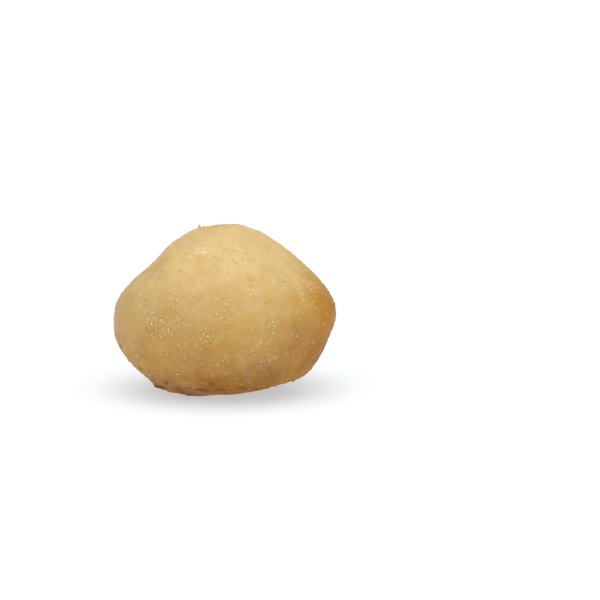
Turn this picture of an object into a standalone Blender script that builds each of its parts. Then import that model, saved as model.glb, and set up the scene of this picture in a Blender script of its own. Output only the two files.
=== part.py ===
"""A whole macadamia kernel, shelled: one closed solid that rests on a small flat spot.

Run with  blender --background --python part.py  or from Blender's text editor.
Metres, +Z up. The origin is on the resting surface, under the middle of the kernel's box.

The kernel is a rounded body with soft flats, as the flesh takes inside its shell. It is star-shaped about
its middle, so one radius for each direction describes it:

    radius = (ellipsoid term ** SOFTNESS + sum of flat terms ** SOFTNESS) ** (-1 / SOFTNESS) + swells

A flat term is how far a direction leans to the flat's normal, divided by the flat's distance from the
middle. The larger SOFTNESS is, the narrower the rounding is between two flats.
"""

import bmesh
import bpy
import numpy as np

MM = 0.001

# Driving dimensions, in millimetres.
WIDTH = 20.0  # along X, the longest way across the kernel
REST_CUT = 0.22  # how much of the underside the resting spot takes off

# The round body before its flats: half its size along X, Y and Z.
HALF_SIZES = (10.75, 9.6, 8.3)
SOFTNESS = 14.0

# Directions are in degrees: the azimuth runs from +X (right) to +Y (back), the elevation from level to up.
# Each flat: (azimuth, elevation, distance from the middle).
FLATS = {
    "crown": (120, 88, 7.9),
    "right_flank": (-15, 51.5, 6.8),
    "right_shoulder": (12, 42.5, 8.6),
    "right_end": (-10, -11, 10.6),
    "right_heel": (8, -26.5, 9.6),
    "right_underside": (-20, -82, 7.4),
    "left_underside": (170, -43.5, 9.5),
    "left_end": (190, 6.5, 10.25),
    "left_shoulder": (172, 46, 7.8),
    "left_flank": (195, 56, 7.8),
    "front_left": (-135, 12, 10.2),
    "front_right": (-50, -8, 10.3),
    "front_brow": (-95, 50, 8.4),
    "front_heel": (-100, -38, 9.2),
    "back_right": (55, 10, 10.0),
    "back_left": (130, -6, 10.2),
    "back_brow": (90, 46, 8.4),
    "back_heel": (80, -45, 8.9),
}

# Each swell, or dip if its height is negative: (azimuth, elevation, how far it spreads to the sides and
# how far up and down in degrees, height).
SWELLS = {
    "right_hollow": (0, -56, 35, 9, -0.2),
    "left_brow": (180, 48, 35, 8, 0.15),
    "left_waist": (180, 30, 40, 9, -0.15),
    "left_cheek": (184, -12, 30, 9, 0.13),
    "left_jaw": (178, -48, 30, 7, 0.22),
}

SUBDIVISIONS = 5  # of the icosahedron that the surface starts from
FLESH_COLOUR = (0.62, 0.41, 0.15, 1.0)
FLESH_ROUGHNESS = 0.5


def direction(azimuth, elevation):
    """The unit vector at an azimuth and an elevation in degrees."""
    a, e = np.radians(azimuth), np.radians(elevation)
    return np.array([np.cos(e) * np.cos(a), np.cos(e) * np.sin(a), np.sin(e)])


def swell_amount(ways, azimuth, elevation, sideways, upward):
    """How much of a swell each direction feels: 1 at its middle, falling off as a bell both ways."""
    across = ways @ direction(azimuth + 90, 0) / np.sin(np.radians(sideways))
    along = ways @ direction(azimuth, elevation + 90) / np.sin(np.radians(upward))
    facing = ways @ direction(azimuth, elevation) > 0
    return facing * np.exp(-(across**2) - along**2)


def kernel_radius(ways):
    """The distance from the middle to the surface, in millimetres, for each row of unit vectors."""
    total = np.linalg.norm(ways / HALF_SIZES, axis=1) ** SOFTNESS
    for azimuth, elevation, distance in FLATS.values():
        lean = np.maximum(ways @ direction(azimuth, elevation), 0)
        total += (lean / distance) ** SOFTNESS
    radius = total ** (-1 / SOFTNESS)
    for azimuth, elevation, sideways, upward, height in SWELLS.values():
        radius += height * swell_amount(ways, azimuth, elevation, sideways, upward)
    return radius


def clear_scene():
    for obj in list(bpy.data.objects):
        bpy.data.objects.remove(obj)


def flesh_material():
    material = bpy.data.materials.new("kernel_flesh")
    material.use_nodes = True
    shader = material.node_tree.nodes["Principled BSDF"]
    shader.inputs["Base Color"].default_value = FLESH_COLOUR
    shader.inputs["Roughness"].default_value = FLESH_ROUGHNESS
    shader.inputs["Metallic"].default_value = 0.0
    return material


def kernel_mesh():
    """The kernel's surface: an icosphere with each vertex moved out to the kernel's radius, then cut flat."""
    bm = bmesh.new()
    bmesh.ops.create_icosphere(bm, subdivisions=SUBDIVISIONS, radius=1.0)
    ways = np.array([v.co.normalized() for v in bm.verts])
    points = ways * kernel_radius(ways)[:, None]
    low, high = points.min(axis=0), points.max(axis=0)
    rest_height = low[2] + REST_CUT
    middle = np.array([(low[0] + high[0]) / 2, (low[1] + high[1]) / 2, rest_height])
    scale = MM * WIDTH / (high[0] - low[0])
    for vertex, place in zip(bm.verts, (points - middle) * scale):
        vertex.co = place
    cut_rest_spot(bm)
    mesh = bpy.data.meshes.new("macadamia_kernel")
    bm.to_mesh(mesh)
    bm.free()
    return mesh


def cut_rest_spot(bm):
    """Takes off all that is below the floor and closes the hole with one flat face."""
    geometry = bm.verts[:] + bm.edges[:] + bm.faces[:]
    cut = bmesh.ops.bisect_plane(
        bm, geom=geometry, dist=1e-6, plane_co=(0, 0, 0), plane_no=(0, 0, 1), clear_inner=True
    )
    rim = [item for item in cut["geom_cut"] if isinstance(item, bmesh.types.BMEdge)]
    bmesh.ops.edgenet_fill(bm, edges=rim)
    for edge in rim:
        edge.smooth = False
    bmesh.ops.recalc_face_normals(bm, faces=bm.faces[:])


def main():
    clear_scene()
    mesh = kernel_mesh()
    mesh.materials.append(flesh_material())
    mesh.shade_smooth()
    kernel = bpy.data.objects.new("macadamia_kernel", mesh)
    bpy.context.scene.collection.objects.link(kernel)


main()
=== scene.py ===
# %% [markdown]
# # A roasted macadamia kernel
# A macadamia kernel is the seed from inside the hard round shell. This one is whole, roasted and salted:
# about 20 mm across, plump and slightly peaked, straw yellow on top and toasted brown underneath, where
# painted shade darkens it further, with fine salt and nut meal stuck to its waxy skin. The engineering
# model already holds its size and its rounded form as one plain solid. Here that solid gets a finely
# modelled skin, a finish, its crumbs, and a studio to be seen in. The file is a notebook: each step says
# what the real thing is like, then makes it.

# %% Load the frame
import itertools

import bpy
import numpy as np
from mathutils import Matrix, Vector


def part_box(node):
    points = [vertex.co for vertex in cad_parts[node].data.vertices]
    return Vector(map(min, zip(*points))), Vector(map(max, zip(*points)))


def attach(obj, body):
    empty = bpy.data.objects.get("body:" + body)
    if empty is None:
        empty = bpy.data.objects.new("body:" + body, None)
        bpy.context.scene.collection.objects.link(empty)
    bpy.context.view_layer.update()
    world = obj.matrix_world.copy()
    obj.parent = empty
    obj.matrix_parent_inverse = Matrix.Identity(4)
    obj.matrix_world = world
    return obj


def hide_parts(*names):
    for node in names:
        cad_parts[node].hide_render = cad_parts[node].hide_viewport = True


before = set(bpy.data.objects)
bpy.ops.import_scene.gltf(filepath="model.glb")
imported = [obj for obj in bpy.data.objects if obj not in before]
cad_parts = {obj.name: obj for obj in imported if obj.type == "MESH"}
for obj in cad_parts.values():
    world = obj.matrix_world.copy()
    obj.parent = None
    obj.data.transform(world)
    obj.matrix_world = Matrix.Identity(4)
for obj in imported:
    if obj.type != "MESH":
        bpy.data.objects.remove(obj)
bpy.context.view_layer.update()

MM = 0.001
SOLID = "macadamia_kernel"
BODY = "root"
box_low, box_high = (np.array(corner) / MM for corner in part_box(SOLID))
box_middle = (box_low + box_high) / 2
print("kernel box in mm:", box_low.round(2), "to", box_high.round(2))

# %% [markdown]
# ## The camera
# A long lens from a little above suits a small thing: it shows the kernel's roundness and keeps its
# proportions true, where a short lens close up would swell the near side. The camera looks along +Y and
# slightly down. It is aimed a little to the right of the kernel, which leaves white space on that side of
# the picture. A Track To constraint could aim it, but one straight line back from the aim is simpler.

# %% The camera
# Distances are in mm, and so are the lens and the sensor.
CAMERA_ELEVATION = np.radians(10)
CAMERA_DISTANCE = 224.3
LENS = 150.0
SENSOR_WIDTH = 36.0
AIM_FROM_MIDDLE = np.array([6.76, 0.0, 0.815])


def add_camera():
    """A camera on a straight line from the aim, turned down by the elevation that it is raised by."""
    camera = bpy.data.objects.new("camera", bpy.data.cameras.new("camera"))
    camera.data.lens = LENS
    camera.data.sensor_width = SENSOR_WIDTH
    camera.data.clip_start = 1 * MM
    camera.data.clip_end = 20.0
    back = np.array([0.0, -np.cos(CAMERA_ELEVATION), np.sin(CAMERA_ELEVATION)])
    aim = np.array([box_middle[0], 0.0, box_middle[2]]) + AIM_FROM_MIDDLE
    camera.location = (aim + CAMERA_DISTANCE * back) * MM
    camera.rotation_euler = (np.pi / 2 - CAMERA_ELEVATION, 0.0, 0.0)
    bpy.context.scene.collection.objects.link(camera)
    bpy.context.scene.camera = camera


add_camera()
print("camera at", [round(x, 4) for x in bpy.context.scene.camera.location])

# %% [markdown]
# ## Directions
# The kernel is star-shaped: a straight line from its middle meets the skin only once. So every place on it
# has a name that is easy to say and to compute with: the direction from the middle, as an azimuth (0 to
# the right, 90 to the back, 270 to the front) and an elevation, both in degrees. Places could be listed in
# mm instead, but each would have to move whenever the form changed.


# %% Directions
def direction(azimuth, elevation):
    """The unit vector at an azimuth and an elevation in degrees."""
    a, e = np.radians(azimuth), np.radians(elevation)
    return np.array([np.cos(e) * np.cos(a), np.cos(e) * np.sin(a), np.sin(e)])


def unit(vectors):
    """Each row divided by its own length."""
    return vectors / np.linalg.norm(vectors, axis=-1, keepdims=True)


def smooth_step(value, start, end):
    """0 before start, 1 after end, and an S-curve, 3t^2 - 2t^3, between them."""
    t = np.clip((value - start) / (end - start), 0, 1)
    return t * t * (3 - 2 * t)


def bell(distance, width):
    """1 where the distance is 0, falling off both ways as e^(-t^2), with t the distance in widths."""
    return np.exp(-((distance / width) ** 2))


print("azimuth 270 and elevation 0 point to the front:", direction(270, 0).round(3))

# %% [markdown]
# ## Natural randomness
# Nothing that grows is perfectly smooth. Gradient noise gives soft random hills of a chosen size. Noises
# of several sizes added together give the lumps, pimples and pores of a real skin. Blender has noise
# textures of its own, but numbers worked out here can move the mesh, tint it and place the grains alike.
# They are computed for all the points at once, which numpy does in a blink.

# %% Gradient noise
random = np.random.default_rng(20)
TABLE = 256
SLOPES = unit(random.normal(size=(TABLE, 3)))
SHUFFLE = random.permutation(TABLE)
PORE_SPACING = 1.15


def pick(cells):
    """Which row of SLOPES each cube of space takes: it looks random, but is the same every time."""
    x, y, z = (cells % TABLE).T
    return SHUFFLE[(SHUFFLE[(SHUFFLE[x] + y) % TABLE] + z) % TABLE]


def noise(places, size, layer=0):
    """Soft random hills about one size apart, mostly from -1 to 1, with another pattern for each layer.

    Space is cut into cubes and each corner gets a random slope. A place takes the height that each of its
    eight corners' slopes has there, blended along each axis by the S-curve 6t^5 - 15t^4 + 10t^3.
    """
    scaled = places / size + 31.7 * layer
    cell = np.floor(scaled).astype(int)
    part = scaled - cell
    near_next = part**3 * (part * (part * 6 - 15) + 10)
    height = np.zeros(len(places))
    for corner in itertools.product((0, 1), repeat=3):
        slope = SLOPES[pick(cell + corner)]
        weight = np.where(corner, near_next, 1 - near_next).prod(axis=1)
        height += weight * (slope * (part - corner)).sum(axis=1)
    return 1.7 * height


def pore_distance(places):
    """How far each place is from the nearest pore, in mm. Each cube of space holds one, near its middle."""
    scaled = places / PORE_SPACING + 13.1
    cell = np.floor(scaled).astype(int)
    nearest = np.full(len(places), np.inf)
    for step in itertools.product((-1, 0, 1), repeat=3):
        pore = cell + step + 0.5 + 0.45 * SLOPES[pick(cell + step)]
        nearest = np.minimum(nearest, np.linalg.norm(scaled - pore, axis=1))
    return nearest * PORE_SPACING


print("noise along a line:", noise(np.linspace((0.5, 0.5, 0.5), (3.0, 0.5, 0.5), 6), 1.0).round(2))

# %% [markdown]
# ## The form
# The engineering solid is a rounded body with soft flats, which the flesh takes inside its shell. The skin
# could be sculpted by hand, but then it would only be near the solid. The solid's own formula puts it
# exactly where the solid is: an ellipsoid term and one term for each flat are raised to a high power and
# added, and the radius is the sum's root, turned over. The high power lets the flat that is nearest win,
# with a soft rounding where two meet.

# %% The form
# How deep the flat spot underneath is cut and the ellipsoid's half sizes, in mm, and the high power.
REST_CUT = 0.22
HALF_SIZES = (10.75, 9.6, 8.3)
SOFTNESS = 14.0

# Each flat: azimuth, elevation, distance from the middle in mm.
FLATS = {
    "crown": (120, 88, 7.9),
    "right_flank": (-15, 51.5, 6.8),
    "right_shoulder": (12, 42.5, 8.6),
    "right_end": (-10, -11, 10.6),
    "right_heel": (8, -26.5, 9.6),
    "right_underside": (-20, -82, 7.4),
    "left_underside": (170, -43.5, 9.5),
    "left_end": (190, 6.5, 10.25),
    "left_shoulder": (172, 46, 7.8),
    "left_flank": (195, 56, 7.8),
    "front_left": (-135, 12, 10.2),
    "front_right": (-50, -8, 10.3),
    "front_brow": (-95, 50, 8.4),
    "front_heel": (-100, -38, 9.2),
    "back_right": (55, 10, 10.0),
    "back_left": (130, -6, 10.2),
    "back_brow": (90, 46, 8.4),
    "back_heel": (80, -45, 8.9),
}

# Each swell or dip: azimuth, elevation, spread sideways and upward in degrees, height in mm.
SWELLS = {
    "right_hollow": (0, -56, 35, 9, -0.2),
    "left_brow": (180, 48, 35, 8, 0.15),
    "left_waist": (180, 30, 40, 9, -0.15),
    "left_cheek": (184, -12, 30, 9, 0.13),
    "left_jaw": (178, -48, 30, 7, 0.22),
}


def swell_amount(ways, azimuth, elevation, sideways, upward):
    """How much of a swell each direction feels: 1 at its middle, falling off as a bell both ways."""
    across = ways @ direction(azimuth + 90, 0) / np.sin(np.radians(sideways))
    along = ways @ direction(azimuth, elevation + 90) / np.sin(np.radians(upward))
    facing = ways @ direction(azimuth, elevation) > 0
    return facing * np.exp(-(across**2) - along**2)


def form_radius(ways):
    """The distance from the middle to the solid's surface, in mm, for each row of unit vectors."""
    total = np.linalg.norm(ways / HALF_SIZES, axis=1) ** SOFTNESS
    for azimuth, elevation, distance in FLATS.values():
        lean = np.maximum(ways @ direction(azimuth, elevation), 0)
        total += (lean / distance) ** SOFTNESS
    radius = total ** (-1 / SOFTNESS)
    for azimuth, elevation, sideways, upward, height in SWELLS.values():
        radius += height * swell_amount(ways, azimuth, elevation, sideways, upward)
    return radius


def form_points(ways):
    """The solid's surface in mm about the form's middle: each direction times its radius."""
    return ways * form_radius(ways)[:, None]


print("the form's radius to the right, back and top in mm:", form_radius(np.eye(3)).round(2))

# %% [markdown]
# ## The skin's relief
# A kernel is two seed leaves pressed together, and a faint wavy groove runs right round where they meet.
# Where the root would have come out there is a small round scar on that groove, behind the crown. The skin
# has broad lumps, a fine pebbled grain, scattered pores and a few rubbed patches, and it is roughest near
# the base, where it lay against the shell. A bump map could show all of these, but the outline would stay
# smooth and the groove would vanish at the edge. So each is a small height, added to the radius.

# %% Seam, scar and patches
# All in mm, but the way that the seam's sheet faces, and the scar's azimuth and elevation.
SEAM_NORMAL = unit(np.array([-0.15, 0.97, -0.2]))
SEAM_OFFSET = 2.3
SEAM_WAVE = 0.35
SEAM_WIDTH = 0.13
SEAM_DEPTH = 0.11
LIP_HEIGHT = 0.03
LIP_PLACE = 0.42
LIP_WIDTH = 0.22
SCAR = (80, 61)
SCAR_RADIUS = 0.95
SCAR_RISE = 0.16
SCAR_RING_DEPTH = 0.10
PORE_WIDTH = 0.13
PORE_DEPTH = 0.035

# Each size of lump: height in mm, the height added near the base, spacing in mm, layer of noise.
LUMPS = [
    (0.09, 0, 5.0, 4),
    (0.045, 0, 2.3, 5),
    (0.020, 0.055, 0.95, 6),
    (0.012, 0.035, 0.42, 7),
]

# Shallow dents and swells that only the skin has, given as the form's are.
DENTS = {
    "left_slope": (180, 38, 30, 9, -0.10),
    "left_tip": (182, 2, 25, 8, 0.09),
    "left_foot": (183, -66, 25, 6, 0.09),
    "right_foot": (0, -52, 30, 9, -0.15),
    "right_tip": (0, -6, 25, 6, 0.08),
    "crown_edge": (0, 81, 25, 5, 0.10),
    "crown_dip": (180, 79, 25, 3.5, -0.10),
    "right_slope_dip": (0, 54, 20, 3, -0.10),
    "left_slope_dip": (180, 54, 20, 5, -0.08),
    "right_sole_dip": (0, -67, 25, 4, -0.10),
    "right_heel_dip": (0, -45, 25, 5, -0.06),
    "left_heel": (180, -54, 20, 4, 0.08),
    "left_sole": (180, -78, 20, 4, 0.08),
    "left_ledge": (184, 49, 7, 1.8, 0.09),
    "right_ledge": (-8, 50, 7, 1.8, 0.08),
    "left_notch": (184, 13, 7, 2.0, -0.06),
}

# Each rubbed patch: azimuth, elevation, half length and half width in mm, turn in degrees, strength.
RUBBED = [
    (250, 49.5, 0.65, 0.42, 0, 1.3),
    (244, 45.5, 0.5, 0.12, 25, 0.8),
    (241, 43, 0.35, 0.1, -10, 0.7),
    (244, -43, 0.9, 0.35, -5, 0.15),
    (287, -35, 0.6, 0.12, -30, 0.3),
    (289, 20, 0.45, 0.12, -12, 0.7),
    (300, -17, 0.5, 0.25, 20, 0.25),
    (96, 40, 0.8, 0.4, 70, 0.8),
    (70, -12, 0.7, 0.25, 20, 0.6),
    (120, 5, 0.5, 0.15, -50, 0.6),
    (25, -18, 0.6, 0.3, 10, 0.5),
    (165, -25, 0.7, 0.25, 40, 0.5),
    (190, 62, 0.4, 0.15, 0, 0.5),
]


def tangents(way):
    """Two unit vectors that lie flat on the skin at a direction: to its side, and up."""
    side = unit(np.cross([0.0, 0.0, 1.0], way))
    return side, np.cross(way, side)


def seam_distance(places):
    """How far each place is from the wavy sheet in which the two seed leaves meet."""
    return places @ SEAM_NORMAL - SEAM_OFFSET + SEAM_WAVE * noise(places, 4.0, 1)


def scar_distance(places, ways):
    """How far each place is from the middle of the scar, in mm. The far side counts as very far."""
    way = direction(*SCAR)
    far = np.where(ways @ way > 0, 0, 100)
    return np.linalg.norm(np.cross(places, way), axis=1) + far


def rubbed_amount(places, ways):
    """Each patch's strength inside it and 0 outside, with a soft ragged edge: an ellipse bent by noise."""
    amount = np.zeros(len(places))
    ragged = 0.35 * noise(places, 0.5, 2) + 0.25 * noise(places, 0.2, 3)
    for azimuth, elevation, length, width, turn, strength in RUBBED:
        way = direction(azimuth, elevation)
        side, up = tangents(way)
        cos, sin = np.cos(np.radians(turn)), np.sin(np.radians(turn))
        along, across = places @ (cos * side + sin * up), places @ (cos * up - sin * side)
        reach = np.hypot(along / length, across / width) + ragged + 9 * (ways @ way < 0.5)
        amount = np.maximum(amount, strength * (1 - smooth_step(reach, 0.4, 1.3)))
    return amount


# %% The relief
def relief(places, ways):
    """The skin's height over the smooth form, in mm: the lumps, dents, pores, seam, scar and rubs added up.

    The seam is a groove with a low lip along each side, deep in some stretches and shallow in others. The
    scar is a knob in a ring-shaped groove.
    """
    near_base = 1 - smooth_step(ways[:, 2], -0.65, -0.15)
    height = np.zeros(len(ways))
    for rise, added, spacing, layer in LUMPS:
        height += (rise + added * near_base) * noise(places, spacing, layer)
    for azimuth, elevation, sideways, upward, rise in DENTS.values():
        height += rise * swell_amount(ways, azimuth, elevation, sideways, upward)
    height -= PORE_DEPTH * bell(pore_distance(places), PORE_WIDTH)
    seam = seam_distance(places)
    open_seam = 0.25 + 0.75 * smooth_step(noise(places, 2.8, 8), -0.5, 0.5)
    height -= SEAM_DEPTH * open_seam * bell(seam, SEAM_WIDTH)
    height += LIP_HEIGHT * open_seam * bell(np.abs(seam) - LIP_PLACE, LIP_WIDTH)
    scar = scar_distance(places, ways) / SCAR_RADIUS
    height += SCAR_RISE * bell(scar, 0.45) - SCAR_RING_DEPTH * bell(scar - 1, 0.22)
    rubbed = rubbed_amount(places, ways)
    return height + rubbed * (0.015 + 0.02 * noise(places, 0.25, 9))


print("relief at the right, back and top in mm:", relief(form_points(np.eye(3)), np.eye(3)).round(3))

# %% [markdown]
# ## The mesh of the skin
# A ball made of rings has two poles, where its faces shrink to slivers. A ball made from a cube has none:
# each of the cube's six sides is a square grid, bulged out to the ball, so its faces are all nearly the
# same size and fine relief looks alike everywhere. The grids share the points along their edges, so the
# ball is closed. Each point is then moved out to the form's radius plus the relief. The underside is
# pressed flat where it rests on the table, as the solid is.

# %% A ball made from a cube
GRID = 128
MAP_MARGIN = 0.01


def cube_ball(cells):
    """Unit directions, four-sided faces that point outwards, and each face corner's place on a flat map.

    A grid line at a share t of a side stands at tan((2t - 1) * 45 degrees), which evens out the faces.
    """
    i, j = np.meshgrid(np.arange(cells + 1), np.arange(cells + 1), indexing="ij")
    sides = []
    for axis, end in itertools.product(range(3), (0, cells)):
        side = np.empty((cells + 1, cells + 1, 3), int)
        side[..., axis] = end
        side[..., (axis + 1) % 3] = i if end else cells - i
        side[..., (axis + 2) % 3] = j
        sides.append(side)
    corners, index = np.unique(np.reshape(sides, (-1, 3)), axis=0, return_inverse=True)
    ways = unit(np.tan((2 * corners / cells - 1) * np.pi / 4))

    index = index.reshape(6, cells + 1, cells + 1)
    column, row = np.divmod(np.arange(6), 2)
    inside = 1 - 2 * MAP_MARGIN
    across = (column[:, None, None] + MAP_MARGIN + inside * i / cells) / 3
    up = (row[:, None, None] + MAP_MARGIN + inside * j / cells) / 2

    def round_each_face(grid):
        """The four corners of every grid cell, in order round it."""
        four = grid[:, :-1, :-1], grid[:, 1:, :-1], grid[:, 1:, 1:], grid[:, :-1, 1:]
        return np.stack(four, axis=-1).reshape(-1, 4)

    flat_map = np.stack([round_each_face(across), round_each_face(up)], axis=-1)
    return ways, round_each_face(index), flat_map


ball_ways, ball_faces, ball_map = cube_ball(GRID)
print("ball:", len(ball_ways), "points,", len(ball_faces), "faces")


# %% Points on the skin
# A short step sideways, in radians, and a way to measure sideways from that no grain lies on.
STEP = 0.012
ASKEW = direction(40, 63)


def raw_skin(ways):
    """The skin's points in mm about the form's own middle, before they are fitted to the solid's box."""
    radius = form_radius(ways)
    return ways * (radius + relief(ways * radius[:, None], ways))[:, None]


raw = raw_skin(ball_ways)
raw_low, raw_high = raw.min(axis=0), raw.max(axis=0)
raw_low[2] += REST_CUT
fit_scale = (box_high - box_low) / (raw_high - raw_low)


def fit_to_box(points):
    """Moves and slightly stretches raw points so that the skin fills the solid's box, flat underneath."""
    fitted = box_low + (points - raw_low) * fit_scale
    fitted[:, 2] = np.maximum(fitted[:, 2], box_low[2])
    return fitted


def skin_points(ways):
    """The finished skin, in mm, in each direction."""
    return fit_to_box(raw_skin(ways))


def skin_normals(ways):
    """Unit vectors that stand up from the skin: each is square to two short steps along it."""
    side = unit(np.cross(ways, ASKEW))
    up = np.cross(ways, side)
    here = skin_points(ways)
    beside = skin_points(unit(ways + STEP * side)) - here
    above = skin_points(unit(ways + STEP * up)) - here
    normals = unit(np.cross(beside, above))
    return normals * np.sign((normals * ways).sum(axis=1))[:, None]


print("fit of the skin to the solid's box:", fit_scale.round(4))

# %% [markdown]
# ## Shader sums
# A finish is worked out by nodes. Written one by one they are long and hard to read, so a small class
# wraps a node's output and lets it be added, multiplied and so on with the usual signs: `1 - mask` adds
# the Math node for it. Colours go through Mix nodes instead, because a Math node would turn them grey.


# %% Shader sums
def add_node(tree, kind, settings, values, output=0):
    """Adds a node: first its settings, then its sockets' values or links. Returns one output, wrapped."""
    node = tree.nodes.new(kind)
    for name, setting in settings.items():
        if name == "stops":
            ramp = node.color_ramp.elements
            while len(ramp) < len(setting):
                ramp.new(1.0)
            for element, (position, colour) in zip(ramp, setting):
                element.position, element.color = position, colour
        else:
            setattr(node, name, setting)
    for name, value in values.items():
        if isinstance(value, Wire):
            tree.links.new(value.socket, node.inputs[name])
        else:
            node.inputs[name].default_value = value
    return Wire(node.outputs[output])


class Wire:
    """An output of a node. A sum of wires and numbers adds the Math nodes that work it out."""

    def __init__(self, socket):
        self.socket = socket

    def math(self, operation, first, second):
        values = {0: first, 1: second}
        return add_node(self.socket.id_data, "ShaderNodeMath", {"operation": operation}, values)

    def __add__(self, other):
        return self.math("ADD", self, other)

    def __sub__(self, other):
        return self.math("SUBTRACT", self, other)

    def __rsub__(self, other):
        return self.math("SUBTRACT", other, self)

    def __mul__(self, other):
        return self.math("MULTIPLY", self, other)

    __radd__ = __add__
    __rmul__ = __mul__

    def between(self, start, end):
        """0 where this is at start or beyond, 1 at end, and a soft step from one to the other."""
        settings = {"interpolation_type": "SMOOTHSTEP"}
        values = {"Value": self, "From Min": start, "From Max": end}
        return add_node(self.socket.id_data, "ShaderNodeMapRange", settings, values)


def mix_colours(tree, first, second, share):
    """first where share is 0 and second where it is 1. Each is a colour or a wire."""
    settings = {"data_type": "RGBA", "clamp_factor": True}
    values = {"Factor": share, 6: first, 7: second}
    return add_node(tree, "ShaderNodeMix", settings, values, output=2)


def attribute(tree, name):
    """A number that the mesh stores for each of its points."""
    return add_node(tree, "ShaderNodeAttribute", {"attribute_name": name}, {}, output=2)


def grain(tree, size, detail=2.0):
    """Noise of a size in mm, from 0 to 1, fixed to the object."""
    places = add_node(tree, "ShaderNodeTexCoord", {}, {}, output=3)
    values = {"Vector": places, "Scale": 1 / (size * MM), "Detail": detail}
    return add_node(tree, "ShaderNodeTexNoise", {}, values)


def new_finish(name, **constants):
    """A new material with one Principled shader, whose constant sockets are set directly."""
    material = bpy.data.materials.new(name)
    material.use_nodes = True
    shader = material.node_tree.nodes["Principled BSDF"]
    for socket, value in constants.items():
        shader.inputs[socket.replace("_", " ")].default_value = value
    return material, material.node_tree, shader


def plug(tree, shader, **wires):
    """Links wires to the shader's sockets by name."""
    for socket, wire in wires.items():
        tree.links.new(wire.socket, shader.inputs[socket.replace("_", " ")])


# %% [markdown]
# ## The finish of the flesh
# Roasted macadamia is a waxy straw yellow that light enters a little way, so it has subsurface scattering.
# The roast turns it golden brown towards the base and at the right end, and painted shade darkens it there
# too: towards the base, where it turns away from the light, and at the right end, as the painted shadow and
# reflected colour of a neighbouring kernel. Soft pinkish, yellow and orange clouds lie over that, the seam,
# the ring round the scar and the pores are darker with painted shade, and rubbed patches are pale. The
# large tones depend on where a point is on the kernel. They could be painted on an image, but numpy can
# work them out from the same directions as the form, and stores them with the mesh as one number a point.
# Only the fine mottle comes from noise nodes. The bump is for grain that is finer than the mesh.

# %% Clouds of colour
# Each cloud: azimuth, elevation, spread in degrees, strength. Toasts add to the roast and its painted
# shade, and a toast below 0 is a paler place.
TOASTS_AND_SHADE = [
    (304, -23, 16, 0.28),
    (278, -42, 9, 0.15),
    # This toast at the right end is partly real roast and partly painted shadow of a neighbouring kernel.
    (343, 3, 12, 0.22),
    (8, -6, 18, 0.10),
    (207, -10, 11, -0.06),
    (247, -14, 12, -0.03),
    (234, 27, 9, 0.06),
    (287, 17, 8, -0.04),
    (292, -12, 7, -0.05),
    (279, -31, 8, 0.07),
    (265, -21, 7, 0.04),
    (268, -43, 10, 0.12),
    (316, -17, 9, 0.05),
    (222, 2, 8, -0.04),
    (283, -17, 9, -0.04),
    (60, -30, 18, 0.15),
    (150, 10, 14, 0.12),
]
YELLOWS = [
    (273, 6, 9, 0.6),
    (250, -4, 8, 0.5),
    # This amber yellow at the right end is partly its own colour and partly painted shadow and reflected
    # colour of a neighbouring kernel.
    (338, 6, 15, 1.0),
    (286, 4, 11, 0.3),
    (312, -25, 14, 0.5),
    (230, -20, 12, 0.3),
    (95, 30, 12, 0.5),
]
ORANGES = [
    # The first two oranges, at the right end, are partly real roast and partly painted shadow and reflected
    # colour of a neighbouring kernel.
    (352, 1, 14, 1.0),
    (338, 1, 12, 0.9),
    (15, -4, 16, 0.5),
    (322, 14, 9, 0.2),
    (320, -14, 15, 0.6),
    (345, -25, 16, 0.3),
    (268, -46, 14, 1.0),
    (300, -44, 14, 0.35),
    (225, -46, 12, 0.5),
    (80, -48, 18, 0.5),
    (160, -45, 18, 0.4),
]
BLUSHES = [
    (250, -17, 14, 0.13),
    (200, 2, 18, 1.0),
    (208, 30, 11, 0.35),
    (287, 17, 7, 0.15),
    (262, 30, 14, 0.2),
    (255, 66, 12, 0.4),
    (300, -12, 14, 0.4),
    (280, -27, 11, 0.2),
    (244, -44, 7, 0.25),
    (60, 20, 14, 0.6),
    (120, -20, 13, 0.6),
]
print(len(TOASTS_AND_SHADE + YELLOWS + ORANGES + BLUSHES), "clouds of colour")


def clouds(places, spots):
    """The sum of bells that fall off with the sine of the angle from each spot, with mottled edges."""
    ways = unit(places)
    amount = np.zeros(len(places))
    for azimuth, elevation, spread, strength in spots:
        way = direction(azimuth, elevation)
        away = np.linalg.norm(np.cross(ways, way), axis=1)
        amount += strength * (ways @ way > 0) * bell(away, np.sin(np.radians(spread)))
    return amount * (1 + 0.4 * noise(places, 0.9, 19))


# %% Tones stored with the skin
def roast_and_shade_amount(ways):
    """How roasted the skin is, with painted shade added: it grows downwards, most at the foot and the right
    end, with soft clouds.
    """
    places = form_points(ways)
    # Darker towards the bottom: partly real roast, partly painted shade where the skin turns away from the
    # light.
    down = 1 - smooth_step(places[:, 2], -8.0, 7.0)
    # Darkest at the foot: a real toasted crust, with painted shade where it nears the table.
    foot = 1 - smooth_step(places[:, 2] + 0.5 * noise(places, 2.0, 22), -7.2, -4.6)
    # Darker at the right end: partly real roast, partly painted shadow and reflected colour of a
    # neighbouring kernel.
    to_the_right = smooth_step(places[:, 0] + 0.2 * places[:, 1], 3.5, 10.5)
    cloudy = 0.08 * noise(places, 4.0, 10) + 0.06 * noise(places, 1.6, 11) + clouds(places, TOASTS_AND_SHADE)
    return np.clip(0.66 * down + 0.3 * foot + 0.45 * to_the_right * (0.45 + down) + cloudy, 0, 1)


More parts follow.
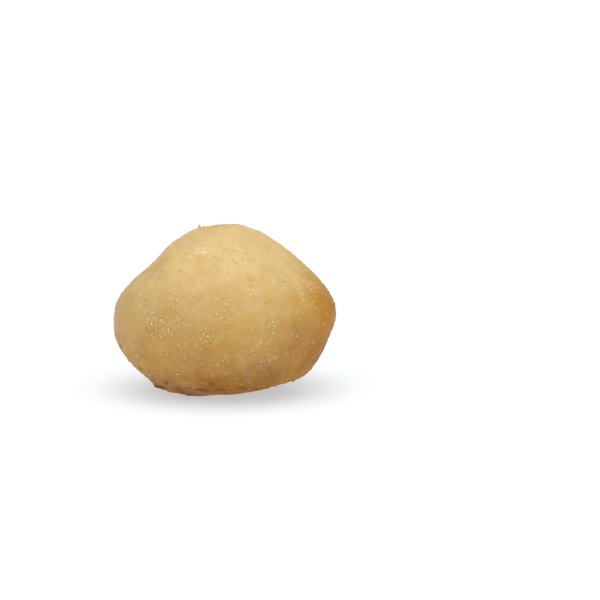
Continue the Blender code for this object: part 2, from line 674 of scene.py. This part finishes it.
def tones(ways):
    """Numbers from 0 to 1 at each direction: roast with painted shade, pink, yellow, orange, painted shade
    in the hollows, and rubbed.
    """
    places = form_points(ways)
    pink = 0.5 * smooth_step(noise(places, 5.5, 12) + 0.4 * noise(places, 1.4, 13), -0.1, 0.9)
    yellow = 0.7 * smooth_step(noise(places, 4.2, 14) + 0.3 * noise(places, 1.2, 15), 0.0, 0.9)
    # The seam groove, the ring round the scar and the pores get painted shade.
    in_seam = bell(seam_distance(places), 0.16)
    ring = bell(scar_distance(places, ways) / SCAR_RADIUS - 1, 0.3)
    in_pores = bell(pore_distance(places), 0.12)
    return {
        "roast": roast_and_shade_amount(ways),
        "pink": np.clip(pink + clouds(places, BLUSHES), 0, 1),
        "yellow": np.clip(yellow + clouds(places, YELLOWS), 0, 1),
        "orange": np.clip(clouds(places, ORANGES), 0, 1),
        "hollow": np.clip(0.8 * in_seam + 0.8 * ring + 0.5 * in_pores, 0, 1),
        "rubbed": np.clip(rubbed_amount(places, ways), 0, 1),
    }


# %% The flesh finish
STRAW = (0.77, 0.555, 0.24, 1)
GOLDEN = (0.575, 0.328, 0.080, 1)
# The toasted and crust colours serve both the real roast and the painted shade.
TOASTED_AND_SHADED = (0.34, 0.14, 0.016, 1)
CRUST_AND_SHADE = (0.22, 0.075, 0.004, 1)
PINKISH = (0.68, 0.44, 0.25, 1)
AMBER = (0.58, 0.335, 0.036, 1)
ORANGE = (0.50, 0.17, 0.008, 1)
# Dark brown for the fine freckles and for the painted shade in the hollows.
DARK_SPOT_AND_SHADE_BROWN = (0.30, 0.14, 0.04, 1)
RUBBED_PALE = (0.95, 0.73, 0.52, 1)


def fine_bump(tree, height):
    """A bump for detail finer than the mesh: 0.03 mm for a height of 1, at half strength."""
    values = {"Strength": 0.5, "Distance": 0.03 * MM, "Height": height}
    return add_node(tree, "ShaderNodeBump", {}, values)


def roast_and_shade_colour(tree, roast):
    """Straw yellow where the roast with its painted shade is 0, then golden, toasted brown, and dark crust
    at 1.
    """
    stops = [(0.0, STRAW), (0.40, GOLDEN), (0.78, TOASTED_AND_SHADED), (1.0, CRUST_AND_SHADE)]
    return add_node(tree, "ShaderNodeValToRGB", {"stops": stops}, {"Fac": roast})


def flesh_finish():
    """Waxy flesh: roast colour with painted shade, tinted by the clouds, with freckles, painted shade in
    the hollows and chalky rubs.
    """
    material, tree, shader = new_finish(
        "roasted_flesh",
        Subsurface_Weight=0.25,
        Subsurface_Radius=(1.0, 0.5, 0.2),
        Subsurface_Scale=1.2 * MM,
        IOR=1.45,
        Specular_IOR_Level=0.25,
    )
    coarse, medium, fine = grain(tree, 1.5), grain(tree, 0.55), grain(tree, 0.16)
    roast = attribute(tree, "roast")
    mottle = 0.24 * (coarse - 0.5) + 0.26 * (medium - 0.5) + 0.11 * (fine - 0.5)
    base = roast_and_shade_colour(tree, roast + mottle * (0.7 + 0.7 * roast))
    base = mix_colours(tree, base, PINKISH, 0.55 * attribute(tree, "pink"))
    base = mix_colours(tree, base, AMBER, 0.50 * attribute(tree, "yellow"))
    base = mix_colours(tree, base, ORANGE, 0.50 * attribute(tree, "orange"))
    base = mix_colours(tree, base, DARK_SPOT_AND_SHADE_BROWN, 0.28 * fine.between(0.64, 0.74))
    # Painted shade in the seam, the scar's ring and the pores.
    base = mix_colours(tree, base, DARK_SPOT_AND_SHADE_BROWN, 0.55 * attribute(tree, "hollow"))
    chalky = attribute(tree, "rubbed") * medium.between(0.25, 0.6)
    base = mix_colours(tree, base, RUBBED_PALE, 0.75 * chalky)
    rough = 0.46 + 0.18 * medium + 0.15 * attribute(tree, "rubbed")
    height = grain(tree, 0.28, detail=3.0) + 0.5 * fine
    plug(tree, shader, Base_Color=base, Roughness=rough, Normal=fine_bump(tree, height))
    return material


# %% [markdown]
# ## The skin as a piece
# The arrays become a mesh: points, faces, the flat map and the stored tones. A modifier could displace the
# plain solid instead, but its triangles are loose and uneven, so a new piece stands for it from now on. It
# replaces the solid, rides on its body, and takes its finish from its slot.

# %% Make pieces from arrays
# The flat map's name.
MAP_NAME = "OFBake"


def make_piece(name, points, faces, flat_map, finish, tone_values):
    """A mesh object at the origin, from arrays in mm. Each of tone_values holds one number a point."""
    mesh = bpy.data.meshes.new(name)
    mesh.from_pydata(points * MM, [], faces)
    mesh.polygons.foreach_set("use_smooth", np.ones(len(faces), bool))
    layer = mesh.uv_layers.new(name=MAP_NAME)
    layer.uv.foreach_set("vector", flat_map.astype(np.float32).ravel())
    for tone, values in tone_values.items():
        store = mesh.attributes.new(tone, "FLOAT", "POINT")
        store.data.foreach_set("value", values.astype(np.float32))
    mesh.materials.append(finish)
    mesh.update()
    piece = bpy.data.objects.new(name, mesh)
    bpy.context.scene.collection.objects.link(piece)
    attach(piece, BODY)
    print(name, len(points), "points,", len(faces), "faces")
    return piece


# %% The skin
skin_tones = tones(ball_ways)
print("mean tones:", {name: round(float(values.mean()), 2) for name, values in skin_tones.items()})
skin = make_piece(
    "kernel_skin", skin_points(ball_ways), ball_faces, ball_map, flesh_finish(), skin_tones
)
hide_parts(SOLID)

# %% [markdown]
# ## Salt, meal and crumbs
# Salt and broken nut stick to the skin while it is still oily from roasting: white salt, fine pale meal,
# flat flecks of nut and a few dark brown specks. They aren't spread evenly: some lie alone, and many lie
# in clusters where two kernels rubbed together. Particles could scatter copies of one grain, but no two
# real grains are alike. So each is a tiny stone of its own, an icosahedron pushed out of shape, sunk a
# little into the skin. There are thousands, so each has only twenty faces, and all of one kind are one
# mesh, placed and turned as whole arrays.

# %% Where grains lie
# Each cluster: azimuth, elevation, spread in degrees, how many grains.
CLUSTERS = [
    (231, 2, 4, 34),
    (234, -1, 8, 22),
    (241, -1, 3, 8),
    (250, 1, 1.5, 4),
    (241, 16, 3, 10),
    (243, 9, 2, 6),
    (222, 10, 5, 14),
    (253, 20, 4, 9),
    (289, 20, 3, 9),
    (275, 12, 5, 14),
    (271, 5, 3, 8),
    (312, 23, 5, 15),
    (323, 16, 5, 20),
    (344, 20, 4, 10),
    (295, 1, 3, 10),
    (293, -8, 3, 9),
    (284, -12, 2, 6),
    (296, -21, 4, 14),
    (315, -21, 5, 8),
    (262, -5, 5, 12),
    (252, -9, 3, 5),
    (216, -13, 5, 20),
    (273, -20, 5, 8),
    (250, 35, 14, 8),
    (300, 42, 14, 9),
    (20, 5, 9, 30),
    (45, 30, 10, 26),
    (70, -15, 8, 28),
    (100, 15, 12, 38),
    (130, 45, 10, 24),
    (150, -5, 9, 30),
    (178, 20, 8, 20),
    (90, 65, 12, 20),
]

# Dark specks that lie alone: azimuth and elevation.
SINGLE_SPECKS = [
    (244, 30),
    (226, 25),
    (281, 51),
    (339, 52),
    (293, 13),
    (272, -5),
    (317, -4),
    (316, 3),
    (323, 16),
]
print(sum(count for *_, count in CLUSTERS), "grains in", len(CLUSTERS), "clusters")


# %% Scatter grains
def in_clusters(wider=0, divisor=1):
    """Directions scattered as a bell round each cluster's middle.

    Each cluster may be made wider by some degrees, and its count divided.
    """
    groups = []
    for azimuth, elevation, spread, count in CLUSTERS:
        way = direction(azimuth, elevation)
        side, up = tangents(way)
        moves = random.normal(size=(count // divisor, 2)) * np.radians(spread + wider) * 0.7
        groups.append(unit(way + moves[:, :1] * side + moves[:, 1:] * up))
    return np.concatenate(groups)


def all_over(count, layer, patchiness=1.4):
    """At most count directions, fewer where the noise of that layer is low on a ball of 9 mm."""
    ways = unit(random.normal(size=(6 * count, 3)))
    likely = 0.3 + patchiness * noise(ways * 9.0, 3.2, layer)
    return ways[random.random(len(ways)) < likely][:count]


def off_the_table(ways, clearance=0.25):
    """Only those directions in which the skin is higher above the table than the clearance, in mm."""
    return ways[skin_points(ways)[:, 2] > box_low[2] + clearance]


# %% Tiny stones
GOLD = (1 + 5**0.5) / 2


def icosahedron():
    """The corners of three crossed golden rectangles, and a face between each three that are 2 apart."""
    flat = [(0, a, b * GOLD) for a, b in itertools.product((-1, 1), repeat=2)]
    corners = np.array([np.roll(corner, turn) for turn in range(3) for corner in flat])
    near = np.linalg.norm(corners[:, None] - corners, axis=2) < 2.1
    faces = []
    for a, b, c in itertools.combinations(range(12), 3):
        if near[a, b] and near[b, c] and near[a, c]:
            outwards = np.linalg.det(corners[[a, b, c]]) > 0
            faces.append((a, b, c) if outwards else (a, c, b))
    return unit(corners), np.array(faces)


def in_cells(count, shape, triangles):
    """A flat map that gives each of count copies of a shape, from -1 to 1, a square cell of its own."""
    cells = int(np.ceil(np.sqrt(count)))
    cell = np.stack(np.divmod(np.arange(count), cells), axis=1)[:, None]
    return ((cell + 0.5 + 0.4 * shape) / cells).reshape(-1, 2)[triangles]


def repeated(values, times):
    """Each list of numbers, one for each stone or flake, made one for each of its points."""
    return {name: np.repeat(numbers, times) for name, numbers in values.items()}


def stones(name, ways, sizes, finish, sunk=0.4, flatness=0.75, jitter=0.22, rare=1.0):
    """One mesh of many stones: corner = skin point + normal * lift + half size * uneven, turned corner.

    sunk is the share of a stone that is under the skin, flatness its height as a share of its width, and
    jitter how uneven its corners are. A stone's tone is a random share to the power rare.
    """
    count = len(ways)
    corners, faces = icosahedron()
    shape = corners * (1 + jitter * random.uniform(-1, 1, (count, len(corners), 1)))
    shape = shape * random.uniform(0.75, 1.25, (count, 1, 3))
    turns, _ = np.linalg.qr(random.normal(size=(count, 3, 3)))
    turns *= np.sign(np.linalg.det(turns))[:, None, None]
    normals = skin_normals(ways)
    turned = shape @ turns
    height = (turned * normals[:, None]).sum(axis=2, keepdims=True)
    turned += (flatness - 1) * height * normals[:, None]
    half = sizes[:, None, None] / 2
    lift = (1 - 2 * sunk) * flatness * half
    points = skin_points(ways)[:, None] + lift * normals[:, None] + half * turned
    all_faces = (np.arange(count)[:, None, None] * len(corners) + faces).reshape(-1, 3)
    flat_map = in_cells(count, corners[:, :2], all_faces)
    values = repeated({"tone": random.random(count) ** rare, "roast": roast_and_shade_amount(ways)}, len(corners))
    return make_piece(name, points.reshape(-1, 3), all_faces, flat_map, finish, values)


# %% The finishes of salt, nut and the dark specks
SALT = (0.98, 0.74, 0.41, 1)
MEAL = (0.90, 0.68, 0.38, 1)
SPECK_DARK = (0.18, 0.08, 0.02, 1)
SPECK_BROWN = (0.40, 0.22, 0.075, 1)


def salt_finish():
    """Each grain's colour lies between the skin's own, with a little less roast and painted shade, and
    cream white; it is less white where these are strong.
    """
    material, tree, shader = new_finish(
        "salt",
        Roughness=0.4,
        Subsurface_Weight=0.2,
        Subsurface_Radius=(1.0, 0.6, 0.3),
        Subsurface_Scale=0.15 * MM,
    )
    roast = attribute(tree, "roast")
    whiteness = (0.12 + 0.76 * attribute(tree, "tone")) * (1 - 0.6 * roast)
    under = roast_and_shade_colour(tree, roast - 0.35)
    plug(tree, shader, Base_Color=mix_colours(tree, under, SALT, whiteness))
    return material


def meal_finish():
    """Broken nut, from nearly the skin's own colour, roast and painted shade included, to a paler one."""
    material, tree, shader = new_finish("nut_meal", Roughness=0.6, Specular_IOR_Level=0.3)
    skin_colour_with_shade = roast_and_shade_colour(tree, attribute(tree, "roast") - 0.1)
    plug(tree, shader, Base_Color=mix_colours(tree, skin_colour_with_shade, MEAL, 0.5 * attribute(tree, "tone")))
    return material


def speck_finish():
    """Dark specks, from light brown to dark."""
    material, tree, shader = new_finish("dark_specks_finish", Roughness=0.6, Specular_IOR_Level=0.3)
    colour = mix_colours(tree, SPECK_BROWN, SPECK_DARK, attribute(tree, "tone"))
    plug(tree, shader, Base_Color=colour)
    return material


# %% Salt grains
USUAL_SALT = 0.138
SALT_SPREAD = 0.32
SMALLEST_SALT, LARGEST_SALT = 0.07, 0.23

salt_ways = off_the_table(np.concatenate([in_clusters(), all_over(460, 16)]))
salt_sizes = random.lognormal(np.log(USUAL_SALT), SALT_SPREAD, len(salt_ways))
salt_sizes = np.clip(salt_sizes, SMALLEST_SALT, LARGEST_SALT)
stones("salt_grains", salt_ways, salt_sizes, salt_finish(), jitter=0.35, rare=1.8)

# %% Nut meal: fine dust, then larger flat flecks
meal = meal_finish()
dust_ways = off_the_table(all_over(2600, 17, patchiness=0.9), clearance=0.12)
dust_sizes = random.uniform(0.06, 0.14, len(dust_ways))
stones("nut_meal_dust", dust_ways, dust_sizes, meal)

fleck_ways = np.concatenate([in_clusters(wider=3, divisor=3), all_over(160, 23)])
fleck_ways = off_the_table(fleck_ways, clearance=0.4)
fleck_sizes = random.uniform(0.16, 0.32, len(fleck_ways))
stones("nut_meal_flecks", fleck_ways, fleck_sizes, meal, sunk=0.45, flatness=0.4, jitter=0.4)

# %% Dark specks
alone = [direction(*place) for place in SINGLE_SPECKS]
speck_ways = np.concatenate([alone, in_clusters(wider=1, divisor=4), all_over(30, 18)])
speck_ways = off_the_table(speck_ways)
speck_sizes = random.uniform(0.06, 0.12, len(speck_ways))
stones("dark_specks", speck_ways, speck_sizes, speck_finish(), sunk=0.5, rare=2.5)

# %% [markdown]
# ## Flakes of skin
# Low on the kernel, where it was toasted most, the brown outer skin has lifted here and there in ragged
# chips, and a thicker crumb stands at the edge of the crown. They could be pulled up from the skin's own
# mesh, but an overhang would stretch it. So a chip is a thin closed shape of its own, which follows the
# skin under it: rings of points round its middle go over the top, round the rim and back underneath, sunk
# in so that no gap shows. One side is lifted like a shingle, and the other side sinks into the skin.

# %% Where the flakes are
# Each flake: azimuth, elevation, half length, half width and thickness in mm, turn in degrees, tone.
FLAKES = [
    (211, -43, 0.80, 0.24, 0.20, -4, 0.1),
    (260, -40, 0.24, 0.17, 0.17, 0, 0.0),
    (240, -44, 0.50, 0.24, 0.05, 10, 0.7),
    (251, -47, 0.55, 0.24, 0.06, -10, 0.5),
    (231, -45, 0.40, 0.24, 0.07, 20, 0.4),
    (268, -46, 0.45, 0.22, 0.07, -15, 0.2),
    (284, -43, 0.50, 0.20, 0.06, -10, 0.4),
    (300, -46, 0.40, 0.20, 0.07, 10, 0.2),
    (322, -38, 0.35, 0.16, 0.06, -20, 0.4),
    (224, -38, 0.40, 0.20, 0.09, 30, 0.4),
    (217, -35, 0.30, 0.18, 0.09, 30, 0.5),
    (209, -28, 0.35, 0.20, 0.10, 40, 0.5),
    (199, -15, 0.30, 0.18, 0.10, 60, 0.6),
    (129, 61.5, 0.14, 0.10, 0.28, 0, 0.4),
    (20, -42, 0.50, 0.24, 0.07, 15, 0.3),
    (52, -46, 0.45, 0.20, 0.06, -25, 0.1),
    (88, -44, 0.60, 0.26, 0.06, 10, 0.5),
    (118, -47, 0.40, 0.22, 0.07, 40, 0.2),
    (150, -42, 0.50, 0.20, 0.07, -10, 0.4),
    (182, -46, 0.45, 0.22, 0.08, 20, 0.2),
]

# Each ring of a flake: its share of the way out, and its height as a share of the thickness.
FLAKE_RINGS = [(0.5, 0.95), (0.85, 0.9), (1.0, 0.5), (0.95, -0.6), (0.5, -1.2)]
FLAKE_TOP, FLAKE_BOTTOM = (0.0, 1.0), (0.0, -1.2)
FLAKE_SPOKES = 18


# %% Make the flakes
def flake_net():
    """Every point's share out, share up and angle, and the triangles of the closed net between rings."""
    count = len(FLAKE_RINGS)
    rings = 1 + np.arange(count * FLAKE_SPOKES).reshape(count, FLAKE_SPOKES)
    last = np.full(FLAKE_SPOKES, rings[-1, -1] + 1)
    here = np.vstack([0 * last, rings, last])
    inner, outer = here[:-1], here[1:]
    inner_next, outer_next = np.roll(inner, -1, axis=1), np.roll(outer, -1, axis=1)
    near_half = np.stack([inner, outer, outer_next], axis=-1)
    far_half = np.stack([inner, outer_next, inner_next], axis=-1)
    triangles = np.concatenate([near_half, far_half]).reshape(-1, 3)
    real = (triangles != np.roll(triangles, 1, axis=1)).all(axis=1)
    rings_of_points = np.repeat(FLAKE_RINGS, FLAKE_SPOKES, axis=0)
    out, rise = np.vstack([FLAKE_TOP, rings_of_points, FLAKE_BOTTOM]).T
    angles = np.tile(np.arange(FLAKE_SPOKES) * 2 * np.pi / FLAKE_SPOKES, count)
    angles = np.concatenate([[0.0], angles, [0.0]])
    return out, rise, angles, triangles[real]


def flake_points(number, flake, out, rise, angles):
    """point = skin + normal * height, in the directions of a ragged ellipse round the flake's middle."""
    azimuth, elevation, length, width, thickness, turn, _ = flake
    way = direction(azimuth, elevation)
    side, up = tangents(way)
    circle = np.column_stack([np.cos(angles), np.sin(angles), 0 * angles])
    ragged = 1 + 0.5 * noise(circle * 1.3, 1.0, number) + 0.4 * noise(circle * 3.1, 1.0, number + 1)
    along = out * ragged * length * circle[:, 0]
    across = out * ragged * width * circle[:, 1]
    cos, sin = np.cos(np.radians(turn)), np.sin(np.radians(turn))
    reach = form_radius(way[None])[0]
    sideways = (along * cos - across * sin) / reach
    upwards = (along * sin + across * cos) / reach
    ways = unit(way + sideways[:, None] * side + upwards[:, None] * up)
    lifted = 0.5 + 0.5 * np.sin(angles + 2.4 * number)
    curl = np.where(rise > 0, 0.15 + 1.2 * lifted * out, 1)
    return skin_points(ways) + (thickness * rise * curl)[:, None] * skin_normals(ways)


# %% The finish of the flakes
FLAKE_BROWN = (0.33, 0.15, 0.04, 1)
FLAKE_PALE = (0.66, 0.34, 0.12, 1)


def flake_finish():
    """Mottled: dark brown where tone is 0, the skin's own colour with its roast and painted shade at a
    half, and pale at 1.
    """
    material, tree, shader = new_finish("flaked_skin", Roughness=0.6, Specular_IOR_Level=0.25)
    mottle = grain(tree, 0.3)
    tone = attribute(tree, "tone") + 0.5 * (mottle - 0.5)
    skin_colour = roast_and_shade_colour(tree, attribute(tree, "roast"))
    colour = mix_colours(tree, FLAKE_BROWN, skin_colour, tone.between(0, 0.5))
    colour = mix_colours(tree, colour, FLAKE_PALE, tone.between(0.5, 1.2))
    plug(tree, shader, Base_Color=colour, Normal=fine_bump(tree, mottle))
    return material


# %% The flakes
def add_flakes():
    """One mesh of all the flakes, kept above the table."""
    out, rise, angles, triangles = flake_net()
    each = [flake_points(number, flake, out, rise, angles) for number, flake in enumerate(FLAKES)]
    points = np.concatenate(each)
    points[:, 2] = np.maximum(points[:, 2], box_low[2])
    shape = out[:, None] * np.column_stack([np.cos(angles), np.sin(angles)])
    all_triangles = (np.arange(len(FLAKES))[:, None, None] * len(out) + triangles).reshape(-1, 3)
    flat_map = in_cells(len(FLAKES), shape, all_triangles)
    middles = np.array([direction(azimuth, elevation) for azimuth, elevation, *_ in FLAKES])
    flake_tones = [tone for *_, tone in FLAKES]
    values = repeated({"tone": flake_tones, "roast": roast_and_shade_amount(middles)}, len(out))
    make_piece("skin_flakes", points, all_triangles, flat_map, flake_finish(), values)


add_flakes()

# %% [markdown]
# ## The studio
# The kernel rests on a wide white sheet, which glows a little as a lit table does, so that it stays white
# away from the shadow. Lamps could light it, but they would leave hard highlights and several shadows. A
# soft white tent, brightest overhead and dimmer towards the horizon, keeps the crown bright, lets the base
# fall into shade and leaves one soft shadow close round the foot. Rays from the camera see plain white
# where they miss everything.

# %% The floor
FLOOR_HALF = 3000.0
FLOOR_GAP = 0.01
FLOOR_WHITE = (0.55, 0.56, 0.57, 1)
FLOOR_GLOW = (0.45, 0.48, 0.505, 1)


def add_floor():
    """A flat square just under the kernel, so wide that its edge is never seen."""
    square = np.array([(-1, -1), (1, -1), (1, 1), (-1, 1)]) * FLOOR_HALF
    points = np.column_stack([square, np.full(4, box_low[2] - FLOOR_GAP)]) * MM
    mesh = bpy.data.meshes.new("white_sheet")
    mesh.from_pydata(points, [], [(0, 1, 2, 3)])
    material, _, _ = new_finish(
        "white_paper",
        Base_Color=FLOOR_WHITE,
        Roughness=0.9,
        Specular_IOR_Level=0.0,
        Emission_Color=FLOOR_GLOW,
        Emission_Strength=1.0,
    )
    mesh.materials.append(material)
    floor = bpy.data.objects.new("white_sheet", mesh)
    bpy.context.scene.collection.objects.link(floor)
    print("floor at", round(float(box_low[2] - FLOOR_GAP), 3), "mm")


add_floor()

# %% The light tent
SKY_LOW = 0.12
SKY_GAIN = 1.94
SKY_SEEN = 1.1
WHITE = (1, 1, 1, 1)
BRIGHTEST = unit(np.array([0.08, -0.22, 1.0]))


def add_light_tent():
    """A world whose light is low all round and grows as the square of how far a ray leans to BRIGHTEST."""
    world = bpy.data.worlds.new("light_tent")
    bpy.context.scene.world = world
    world.use_nodes = True
    tree = world.node_tree
    tree.nodes.clear()
    towards = add_node(tree, "ShaderNodeTexCoord", {}, {}, output=0)
    values = {0: towards, 1: tuple(BRIGHTEST)}
    lean = add_node(tree, "ShaderNodeVectorMath", {"operation": "DOT_PRODUCT"}, values, output=1)
    lean = lean.math("MAXIMUM", lean, 0.0)
    strength = SKY_LOW + SKY_GAIN * lean * lean
    from_camera = add_node(tree, "ShaderNodeLightPath", {}, {}, output=0)
    tent = add_node(tree, "ShaderNodeBackground", {}, {"Color": WHITE, "Strength": strength})
    plain = add_node(tree, "ShaderNodeBackground", {}, {"Color": WHITE, "Strength": SKY_SEEN})
    both = add_node(tree, "ShaderNodeMixShader", {}, {0: from_camera, 1: tent, 2: plain})
    world_output = tree.nodes.new("ShaderNodeOutputWorld")
    tree.links.new(both.socket, world_output.inputs["Surface"])


add_light_tent()
bpy.context.scene.view_settings.view_transform = "Standard"
print("light from", SKY_LOW, "at the horizon to", SKY_LOW + SKY_GAIN, "at its brightest")
